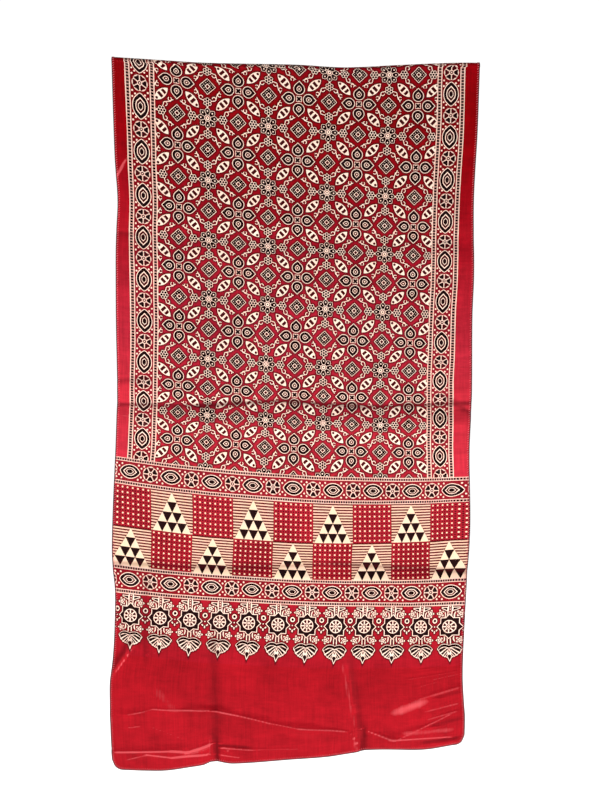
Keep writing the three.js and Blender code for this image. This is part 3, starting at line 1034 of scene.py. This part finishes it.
def draw_finials(across, along):
    x = abs(every(across - FIRST_UNIT, UNIT))
    y = ROSETTE_HEIGHT - along
    here = spot(x, y)
    star = (x.most(abs(y)) - 13).least((x + abs(y) - 18.4) * 0.7071)

    folded_y = abs(y - 0.85)
    upper_stem = (abs(x - 3) - 0.75).most(abs(y + 23.5) - 8)
    lower_stem = (abs(x - 2.4) - 0.7).most(abs(y - 23) - 4.5)
    wing = (-28.2 - y).most(y + 24.2 + (x - 4.2) * 0.38).most(4.6 - x).most(x - 13)
    arm = abs(away(spot(x, folded_y), 13.4, 18) - 6.8) - 0.85
    arm = arm.most(x - 13.4).most(14 - folded_y).most(17.5 - folded_y - (7.8 - x) * 9)
    sprig_x = x - 15
    sprig_y = folded_y - 20.6
    sprig_middle = away(spot(sprig_x, sprig_y))
    fifth = math.radians(72)
    sprig_turn = sprig_y.angle_from(sprig_x)
    sprig = sprig_middle - (sprig_turn * 5).cosine() * 1.7 - 4.5

    between = UNIT / 2 - x
    gap = spot(between, y)
    ring = away(gap, 0, -9) - 3.8
    drop = away(gap, 0, 0.2) - 1
    strokes = [((4.2, 5.2), (3.1, 6.4)), ((0, 7.8), (0, 10))]
    leaflet = any_of(*[line_through(gap, *ends) for ends in strokes]) - 0.95

    from_peak = x - 8
    past_peak = from_peak.most(0)
    below_top = y - 27.8 - from_peak * from_peak * 0.034 - past_peak * past_peak * 0.025
    from_rib = abs(every((y - 30.8 - x * 0.56) / (x * 0.35 + 3.1), 1))
    side = away(here, 0, 31.5) - 19 - from_rib * 2.2
    seed = teardrop_depth(y, x, 48.6, 2.9, 55.8)
    palmette = side.most(0 - below_top).least(-1.1 - seed)
    top_band = (abs(below_top - 2.8) - 2).most(side + 1.3)
    rib = (from_rib - 0.34).most(5.6 - below_top).most(side + 1).most(3 - x)
    heart = (x - (43.5 - y) * 0.46).most(35.5 - y)

    stem_dot = away(spot(x, every(y, 3.7))).most(abs(y + 24) - 6) - 0.9
    petal_dot = abs(every(sprig_turn, fifth)) * sprig_middle
    sprig_dots = away(spot(sprig_middle, petal_dot), 3.2).least(sprig_middle) - 1.1
    lower_dot = away(here, 0, 22.5) - 1.1

    middle = away(here)
    eighth = math.radians(45)
    from_spoke = abs(every(y.angle_from(x) - eighth / 2, eighth)) * middle
    wedge = (from_spoke - (middle - 2.4) * 0.4).most(middle - 9)
    hub = rings(middle, 5, (0, DEEP_BLOCK), (0.7, RESIST), (2.0, DEEP_BLOCK), (3.4, RESIST))

    nearest = any_of(
        star - 1.1, palmette, sprig, arm, ring, drop, leaflet, wing - 1, upper_stem, lower_stem
    )
    ink = add_node(x.tree, "ValToRGB", [nearest * 0.1], stops=[(0.08, DARK_HALO), (0.3, NO_INK)])
    return stamp_all(
        ink,
        (any_of(nearest, stem_dot) < 0, RESIST),
        (any_of(wing, star, ring + 1.6) < 0, BLACK_BLOCK),
        (any_of(sprig_dots, lower_dot) < 0, DEEP_BLOCK),
        (middle < 10.2, RESIST),
        (wedge < 0, DEEP_BLOCK),
        (middle < 4.2, hub),
        (any_of(top_band, rib, 0 - seed) < 0, BLACK_BLOCK),
        (heart < 0, DEEP_BLOCK),
        (heart < -1.2, THIN_RESIST),
    )

# %% [markdown]
# Mashru is woven with a silk warp and a cotton weft in a satin weave, so its face is nearly all
# silk: long floats that run along the stole, shiny, and its back is matt cotton. The floats act
# like a brushed surface. They spread a highlight sideways and keep it narrow up and down, which
# is why every crease that runs across the cloth lights up or goes dark. The tangent of the shader
# is set along the weft for that, with the anisotropy on its own socket.
# On the fine creases, a painted highlight and painted shade are laid into the colour as well.

# %% Silk with a print on it
METRES_TO_MILLIMETRES = 1000
LENGTH_MM = CUT_LENGTH * METRES_TO_MILLIMETRES
PRINT_WANDER = 1.6
BLOCK_SHAKE = 0.5
SATIN_ROUGHNESS = 0.40
# How strongly the crease map paints a highlight on crease crests and shade in crease troughs.
PAINTED_HIGHLIGHT_STRENGTH = 0.45
PAINTED_SHADE_STRENGTH = 0.45
# Silk threads tint their own shine, as metals do, so a share of it is taken as metallic.
SILK_GLOSS = 0.25


def emptied(owner):
    """The node tree of a material or a world, with the nodes it came with taken out."""
    owner.use_nodes = True
    owner.node_tree.nodes.clear()
    return owner.node_tree


def flat_millimetres(tree):
    """Where a point lies on the flat cloth, in millimetres."""
    flat = add_node(tree, "UVMap", uv_map=PRINT_MAP)
    return add_node(tree, "VectorMath", [flat, (METRES_TO_MILLIMETRES,) * 3], operation="MULTIPLY")


def threads_in(flat, across, along, detail=2):
    """Noise drawn out into threads, by how often it changes in a millimetre across and along."""
    drawn_out = add_node(flat.tree, "VectorMath", [flat, (across, along, 0)], operation="MULTIPLY")
    return add_node(flat.tree, "TexNoise", {"Vector": drawn_out, "Scale": 1, "Detail": detail})


def silk_material(name, draw, dye_and_sheen_table, cream, mirrored=False):
    """A material of mashru satin with a region's print drawn on it."""
    material = bpy.data.materials.new(name)
    tree = emptied(material)
    flat = flat_millimetres(tree)

    warp_streak = threads_in(flat, 0.4, 0.022)
    weft_streak = threads_in(flat, 0.05, 0.35)
    crinkle = threads_in(flat, 0.035, 0.085, detail=4)
    dye = add_node(tree, "TexNoise", {"Vector": flat, "Scale": 0.011, "Detail": 3})

    uneven = warp_streak * 0.5 + weft_streak * 0.25 + dye * 0.7 - 0.22
    length = add_node(tree, "SeparateXYZ", [flat], output=1) * (1 / LENGTH_MM)
    # The red along the length: partly dye, partly painted sheen that lightens it towards both ends.
    stops = [(place * 2 / LENGTH_MM, linear(colour)) for place, colour in dye_and_sheen_table]
    silk = add_node(tree, "ValToRGB", [length.there_and_back(0.5) * 2], stops=stops)
    depth = uneven * 1.2 + crinkle * 0.5 + 0.15
    depth = add_node(tree, "CombineXYZ", [depth, depth, depth])
    colour = add_node(tree, "VectorMath", [silk, depth], operation="MULTIPLY")
    # Painted highlight: from the crease map, the crests of the fine creases are lightened towards
    # coral, in flecks broken up by the threads' noise.
    crease = add_node(tree, "Attribute", output=2, attribute_name=CREASE_MAP)
    ridge = crease.most(0).to_power(2) * 1.9 - crinkle * 0.7 - warp_streak * 0.9
    colour = stamp(colour, ridge.least(1).most(0) * PAINTED_HIGHLIGHT_STRENGTH, PAINTED_HIGHLIGHT_CORAL)
    if draw:
        wander = add_node(tree, "TexNoise", {"Vector": flat, "Scale": 0.016, "Detail": 1}, output=1)
        shake = add_node(tree, "TexNoise", {"Vector": flat, "Scale": 0.33, "Detail": 1}, output=1)
        moved = add_node(
            tree, "VectorMath", [wander, (PRINT_WANDER,) * 3, flat], operation="MULTIPLY_ADD"
        )
        moved = add_node(
            tree, "VectorMath", [shake, (BLOCK_SHAKE,) * 3, moved], operation="MULTIPLY_ADD"
        )
        settle = (PRINT_WANDER + BLOCK_SHAKE) / 2
        place = add_node(tree, "SeparateXYZ", [moved])
        across = place - settle
        along = place.part(1) - settle
        if mirrored:
            along = along.least(LENGTH_MM - along)
        blocks = add_node(tree, "SeparateColor", [draw(across, along)])
        cream_tone = stamp_all(cream, (crinkle * 1.6 - 0.3, PEACH), (warp_streak * 0.35, PEACH))
        colour = stamp_all(
            colour, (blocks.part(2), MAROON), (blocks.part(1), BLACK), (blocks * 0.97, cream_tone)
        )
    # Painted shade: maroon laid into the troughs of the fine creases, from the same crease map.
    colour = stamp(colour, (crease.least(0) * -PAINTED_SHADE_STRENGTH).least(0.65), MAROON)

    height = warp_streak * 0.00004 + weft_streak * 0.00005 + crinkle * 0.0006
    normal = add_node(tree, "Bump", {"Strength": 1, "Distance": 1, "Height": height})
    tangent = add_node(tree, "Tangent", direction_type="UV_MAP", uv_map=PRINT_MAP)
    surface = add_node(tree, "BsdfPrincipled", {
        "Base Color": colour, "Metallic": SILK_GLOSS, "Roughness": SATIN_ROUGHNESS, "IOR": 1.5,
        "Specular IOR Level": 0.14, "Specular Tint": (1, 0.3, 0.3, 1),
        "Anisotropic": 0.55, "Tangent": tangent, "Normal": normal,
        "Sheen Weight": 0.03, "Sheen Roughness": 0.45, "Sheen Tint": (1, 0.3, 0.3, 1),
    })
    add_node(tree, "OutputMaterial", [surface])
    print(name, "nodes", len(tree.nodes))
    return material

# %% Materials of the printed regions
region_materials = {
    "plain_silk": silk_material("mashru_plain", None, PLAIN_RED, CREAM),
    "side_border": silk_material("mashru_side_border", draw_border, PRINTED_RED, CREAM),
    "field": silk_material("mashru_field", draw_field, PRINTED_RED, CREAM),
    "band": silk_material("mashru_band", draw_band, PRINTED_RED, CREAM, mirrored=True),
    "checker": silk_material("mashru_checker", draw_checker, PRINTED_RED, YELLOW_CREAM, True),
    "finials": silk_material("mashru_finials", draw_finials, PRINTED_RED, CREAM, mirrored=True),
}
for region in REGIONS:
    cloth_mesh.materials.append(region_materials[region])

# %% [markdown]
# The inner side of the fold shows only from below and from the sides. It is the cotton weft:
# matt, paler, and without the print.

# %% Cotton back and cut edge
COTTON = linear("#A63A42")


def shade(colour, share):
    return tuple(part * share for part in colour[:3]) + (1,)


def cotton_material(name, base, rough):
    """Matt cotton, uneven in its threads and in its dye."""
    material = bpy.data.materials.new(name)
    tree = emptied(material)
    flat = flat_millimetres(tree)
    threads = threads_in(flat, 0.12, 1.1)
    dye = add_node(tree, "TexNoise", {"Vector": flat, "Scale": 0.012, "Detail": 3})
    uneven = threads * 0.6 + dye * 0.6 - 0.1
    colour = stamp(shade(base, 0.7), uneven, shade(base, 1.25))
    normal = add_node(tree, "Bump", {"Strength": 1, "Distance": 1, "Height": threads * 0.00012})
    surface = add_node(tree, "BsdfPrincipled", {
        "Base Color": colour, "Roughness": rough, "Specular IOR Level": 0.25, "Normal": normal,
        "Sheen Weight": 0.2, "Sheen Roughness": 0.6,
    })
    add_node(tree, "OutputMaterial", [surface])
    return material


cloth_mesh.materials.append(cotton_material("mashru_cotton_back", COTTON, 0.85))
cloth_mesh.materials.append(cotton_material("mashru_cut_edge", MAROON, 0.7))

# %% Sewing thread
def thread_material(name, colour):
    material = bpy.data.materials.new(name)
    tree = emptied(material)
    surface = add_node(tree, "BsdfPrincipled", {
        "Base Color": colour, "Roughness": 0.55, "Specular IOR Level": 0.3,
        "Sheen Weight": 0.1, "Sheen Roughness": 0.5,
    })
    add_node(tree, "OutputMaterial", [surface])
    return material


# The needle thread's pale red is partly its own colour and partly a painted highlight along the hem.
overlock.data.materials.append(thread_material("pale_red_thread_and_painted_highlight", linear("#DC666E")))
# The looper's near-black maroon is partly its own colour and partly painted shade along the edge.
looper.data.materials.append(thread_material("maroon_thread_and_painted_shade", linear("#30040A")))

# %% Light and floor
FLOOR_DEPTH = 1.32
FLOOR_SIZE = 30
FLOOR_COLOUR = linear("#F4F4F2")
FLOOR_GLOW = 0.84
ROOM_LIGHT = 0.25
# The camera sees the room brighter than it lights the cloth, so that it comes out white.
EXTRA_WHITE_SEEN = 0.8

floor_bmesh = bmesh.new()
bmesh.ops.create_grid(floor_bmesh, x_segments=1, y_segments=1, size=FLOOR_SIZE)
bmesh.ops.translate(floor_bmesh, verts=floor_bmesh.verts, vec=(0, 0, -FLOOR_DEPTH))
floor_mesh = bpy.data.meshes.new("studio_floor")
floor_bmesh.to_mesh(floor_mesh)
floor_bmesh.free()
floor = add_object("studio_floor", floor_mesh)

floor_material = bpy.data.materials.new("pale_studio_paper")
floor_tree = emptied(floor_material)
floor_surface = add_node(floor_tree, "BsdfPrincipled", {
    "Base Color": FLOOR_COLOUR, "Roughness": 0.9, "Specular IOR Level": 0.1,
    "Emission Color": (1, 1, 1, 1), "Emission Strength": FLOOR_GLOW,
})
add_node(floor_tree, "OutputMaterial", [floor_surface])
floor_mesh.materials.append(floor_material)

world = bpy.data.worlds.new("white_studio")
world_tree = emptied(world)
seen = add_node(world_tree, "LightPath")
strength = seen * EXTRA_WHITE_SEEN + ROOM_LIGHT
background = add_node(world_tree, "Background", {"Color": (1, 1, 1, 1), "Strength": strength})
add_node(world_tree, "OutputWorld", [background])
bpy.context.scene.world = world
bpy.context.scene.view_settings.view_transform = "Standard"


def soft_light(name, place, aim, size, power):
    data = bpy.data.lights.new(name, "AREA")
    data.shape = "RECTANGLE"
    data.size, data.size_y = size
    data.energy = power
    light = add_object(name, data)
    light.location = place
    light.rotation_euler = (Vector(aim) - Vector(place)).to_track_quat("-Z", "Y").to_euler()


soft_light("window_left", (-1.9, -1.3, -0.4), (0, 0, -0.6), (0.6, 0.9), 21)
soft_light("high_front", (-0.5, -2.1, 1.0), (0, 0, -0.8), (0.9, 0.4), 13)
soft_light("low_front", (0.1, -2.0, -1.0), (0, 0, -0.7), (1.8, 0.6), 6)
soft_light("low_right", (1.7, -1.6, -0.9), (0.2, 0, -0.9), (0.7, 0.7), 15)
soft_light("behind", (1.0, 2.2, 0.5), (0, 0, -0.5), (1.5, 1.5), 20)

# %% Tie the pieces to the frame
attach(stole, "root")
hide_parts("stole")
for thread in (overlock, looper):
    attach(thread, "root")
